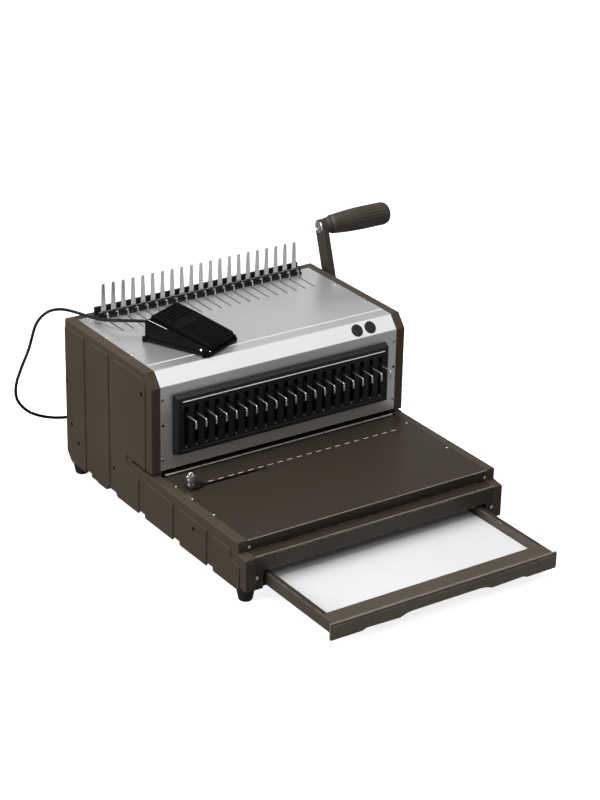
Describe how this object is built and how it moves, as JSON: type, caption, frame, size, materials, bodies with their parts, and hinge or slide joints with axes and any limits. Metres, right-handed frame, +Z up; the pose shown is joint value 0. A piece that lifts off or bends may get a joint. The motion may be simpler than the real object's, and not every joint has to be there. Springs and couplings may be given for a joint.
{
  "type": "comb binding machine",
  "caption": "Desktop comb binding machine with a slotted punch head, upright comb opener, side lever, paper table, supplies drawer and a corded foot pedal.",
  "frame": {"origin": "on the ground plane, under the middle of the machine's overall box with its drawer pulled out and its lever grip", "axes": "+Z up, +Y towards the back of the machine, +X to the operator's right, the lever's side"},
  "size_m": [0.5498, 0.603, 0.2776],
  "materials": {
    "brown_plastic": "fine moulded grain, satin",
    "brown_sheet": "fine textured powder coat",
    "drawer_plastic": "fine moulded grain, satin",
    "silver_sheet": "silver lacquer, satin",
    "black_plastic": "moulded, slightly glossy",
    "pedal_plastic": "moulded, ribbed, semi-matt",
    "lever_paint": "satin enamel",
    "grip_plastic": "smooth turned grip, semi-gloss",
    "bright_steel": "bright drawn steel",
    "zinc_steel": "zinc plated",
    "chrome_knob": "nickel plated, turned",
    "rubber_foot": "matt",
    "cord_sheath": "semi-matt sheath",
    "label_print": "white printed strip",
    "drawer_liner": "white, matt"
  },
  "bodies": {
    "casing": {"base_pan": "zinc_steel", "comb_rail": "black_plastic", "comb_tines": "bright_steel", "cord_socket": "black_plastic", "die_plate": "bright_steel", "foot_front_left": "rubber_foot", "foot_front_right": "rubber_foot", "foot_rear_left": "rubber_foot", "foot_rear_right": "rubber_foot", "front_cover": "brown_sheet", "front_fascia": "silver_sheet", "gear_motor": "zinc_steel", "left_frame_plate": "zinc_steel", "left_side_cover": "brown_plastic", "paper_table": "brown_sheet", "pedal_cord": "cord_sheath", "pin_guide": "zinc_steel", "power_inlet": "black_plastic", "rear_cover": "brown_sheet", "return_spring": "bright_steel", "right_frame_plate": "zinc_steel", "right_side_cover": "brown_plastic", "tab_cover": "black_plastic", "top_plate": "silver_sheet"},
    "drawer": {"drawer_tray": "drawer_plastic", "drawer_front": "drawer_plastic"},
    "punch_bar": {"punch_bar": "zinc_steel", "die_pins": "bright_steel"},
    "cam_shaft": {"cam_shaft": "bright_steel"},
    "lever": {"lever_shaft": "bright_steel", "lever_arm": "lever_paint", "grip_bolt": "bright_steel"},
    "grip": {"handle_grip": "grip_plastic"},
    "hook_carriage": {"hook_carriage": "bright_steel"},
    "edge_guide": {"edge_guide": "black_plastic"},
    "guide_knob": {"guide_knob": "chrome_knob"},
    "rocker": {"power_switch": "black_plastic"},
    "pedal": {"pedal_base": "pedal_plastic"},
    "treadle": {"pedal_treadle": "pedal_plastic"},
    "selector_01": {"selector_01": "bright_steel"},
    "selector_02": {"selector_02": "bright_steel"},
    "selector_03": {"selector_03": "bright_steel"},
    "selector_04": {"selector_04": "bright_steel"},
    "selector_05": {"selector_05": "bright_steel"},
    "selector_06": {"selector_06": "bright_steel"},
    "selector_07": {"selector_07": "bright_steel"},
    "selector_08": {"selector_08": "bright_steel"},
    "selector_09": {"selector_09": "bright_steel"},
    "selector_10": {"selector_10": "bright_steel"},
    "selector_11": {"selector_11": "bright_steel"},
    "selector_12": {"selector_12": "bright_steel"},
    "selector_13": {"selector_13": "bright_steel"},
    "selector_14": {"selector_14": "bright_steel"},
    "selector_15": {"selector_15": "bright_steel"},
    "selector_16": {"selector_16": "bright_steel"},
    "selector_17": {"selector_17": "bright_steel"},
    "selector_18": {"selector_18": "bright_steel"},
    "selector_19": {"selector_19": "bright_steel"},
    "selector_20": {"selector_20": "bright_steel"},
    "selector_21": {"selector_21": "bright_steel"}
  },
  "joints": [
    {"name": "drawer_slide", "type": "slide", "parent": "casing", "child": "drawer", "axis": [0, -1, 0], "range_m": [-0.133, 0]},
    {"name": "punch_stroke", "type": "slide", "parent": "casing", "child": "punch_bar", "axis": [0, 0, -1], "range_m": [0, 0.018], "stiffness_N_per_m": 900, "springref_m": -0.045, "deforming": ["return_spring"]},
    {"name": "cam_turn", "type": "hinge", "parent": "casing", "child": "cam_shaft", "pos_m": [-0.05505, 0.1026, 0.1724], "axis": [1, 0, 0], "range_deg": [0, 180.5]},
    {"name": "lever_swing", "type": "hinge", "parent": "casing", "child": "lever", "pos_m": [0.13495, 0.2186, 0.109], "axis": [1, 0, 0], "range_deg": [0, 75]},
    {"name": "grip_spin", "type": "hinge", "parent": "lever", "child": "grip", "pos_m": [0.19495, 0.26835, 0.26212], "axis": [1, 0, 0], "continuous": true},
    {"name": "hook_slide", "type": "slide", "parent": "casing", "child": "hook_carriage", "axis": [0, -1, 0], "range_m": [0, 0.0345]},
    {"name": "edge_guide_slide", "type": "slide", "parent": "casing", "child": "edge_guide", "axis": [1, 0, 0], "range_m": [0, 0.085]},
    {"name": "guide_knob_turn", "type": "hinge", "parent": "edge_guide", "child": "guide_knob", "pos_m": [-0.21505, 0.0196, 0.087], "axis": [0, 0, 1], "range_deg": [0, 270]},
    {"name": "switch_rock", "type": "hinge", "parent": "casing", "child": "rocker", "pos_m": [0.02495, 0.2756, 0.054], "axis": [1, 0, 0], "range_deg": [0, 10]},
    {"name": "pedal_lift", "type": "slide", "parent": "casing", "child": "pedal", "axis": [0, 0, 1], "range_m": [0, 0.06]},
    {"name": "treadle_press", "type": "hinge", "parent": "pedal", "child": "treadle", "pos_m": [-0.12874, 0.10347, 0.2148], "axis": [-0.9063, -0.4226, 0], "range_deg": [0, 6], "stiffness_Nm_per_rad": 0.6, "springref_deg": -17.19},
    {"name": "selector_01_pull", "type": "slide", "parent": "punch_bar", "child": "selector_01", "axis": [0, -1, 0], "range_m": [0, 0.007]},
    {"name": "selector_02_pull", "type": "slide", "parent": "punch_bar", "child": "selector_02", "axis": [0, -1, 0], "range_m": [0, 0.007]},
    {"name": "selector_03_pull", "type": "slide", "parent": "punch_bar", "child": "selector_03", "axis": [0, -1, 0], "range_m": [0, 0.007]},
    {"name": "selector_04_pull", "type": "slide", "parent": "punch_bar", "child": "selector_04", "axis": [0, -1, 0], "range_m": [0, 0.007]},
    {"name": "selector_05_pull", "type": "slide", "parent": "punch_bar", "child": "selector_05", "axis": [0, -1, 0], "range_m": [0, 0.007]},
    {"name": "selector_06_pull", "type": "slide", "parent": "punch_bar", "child": "selector_06", "axis": [0, -1, 0], "range_m": [0, 0.007]},
    {"name": "selector_07_pull", "type": "slide", "parent": "punch_bar", "child": "selector_07", "axis": [0, -1, 0], "range_m": [0, 0.007]},
    {"name": "selector_08_pull", "type": "slide", "parent": "punch_bar", "child": "selector_08", "axis": [0, -1, 0], "range_m": [0, 0.007]},
    {"name": "selector_09_pull", "type": "slide", "parent": "punch_bar", "child": "selector_09", "axis": [0, -1, 0], "range_m": [0, 0.007]},
    {"name": "selector_10_pull", "type": "slide", "parent": "punch_bar", "child": "selector_10", "axis": [0, -1, 0], "range_m": [0, 0.007]},
    {"name": "selector_11_pull", "type": "slide", "parent": "punch_bar", "child": "selector_11", "axis": [0, -1, 0], "range_m": [0, 0.007]},
    {"name": "selector_12_pull", "type": "slide", "parent": "punch_bar", "child": "selector_12", "axis": [0, -1, 0], "range_m": [0, 0.007]},
    {"name": "selector_13_pull", "type": "slide", "parent": "punch_bar", "child": "selector_13", "axis": [0, -1, 0], "range_m": [0, 0.007]},
    {"name": "selector_14_pull", "type": "slide", "parent": "punch_bar", "child": "selector_14", "axis": [0, -1, 0], "range_m": [0, 0.007]},
    {"name": "selector_15_pull", "type": "slide", "parent": "punch_bar", "child": "selector_15", "axis": [0, -1, 0], "range_m": [0, 0.007]},
    {"name": "selector_16_pull", "type": "slide", "parent": "punch_bar", "child": "selector_16", "axis": [0, -1, 0], "range_m": [0, 0.007]},
    {"name": "selector_17_pull", "type": "slide", "parent": "punch_bar", "child": "selector_17", "axis": [0, -1, 0], "range_m": [0, 0.007]},
    {"name": "selector_18_pull", "type": "slide", "parent": "punch_bar", "child": "selector_18", "axis": [0, -1, 0], "range_m": [0, 0.007]},
    {"name": "selector_19_pull", "type": "slide", "parent": "punch_bar", "child": "selector_19", "axis": [0, -1, 0], "range_m": [0, 0.007]},
    {"name": "selector_20_pull", "type": "slide", "parent": "punch_bar", "child": "selector_20", "axis": [0, -1, 0], "range_m": [0, 0.007]},
    {"name": "selector_21_pull", "type": "slide", "parent": "punch_bar", "child": "selector_21", "axis": [0, -1, 0], "range_m": [0, 0.007]}
  ],
  "couplings": [
    {"joint": "cam_turn", "follows": "punch_stroke", "rad_per_m": 174.53},
    {"joint": "hook_slide", "follows": "lever_swing", "m_per_rad": 0.026}
  ]
}
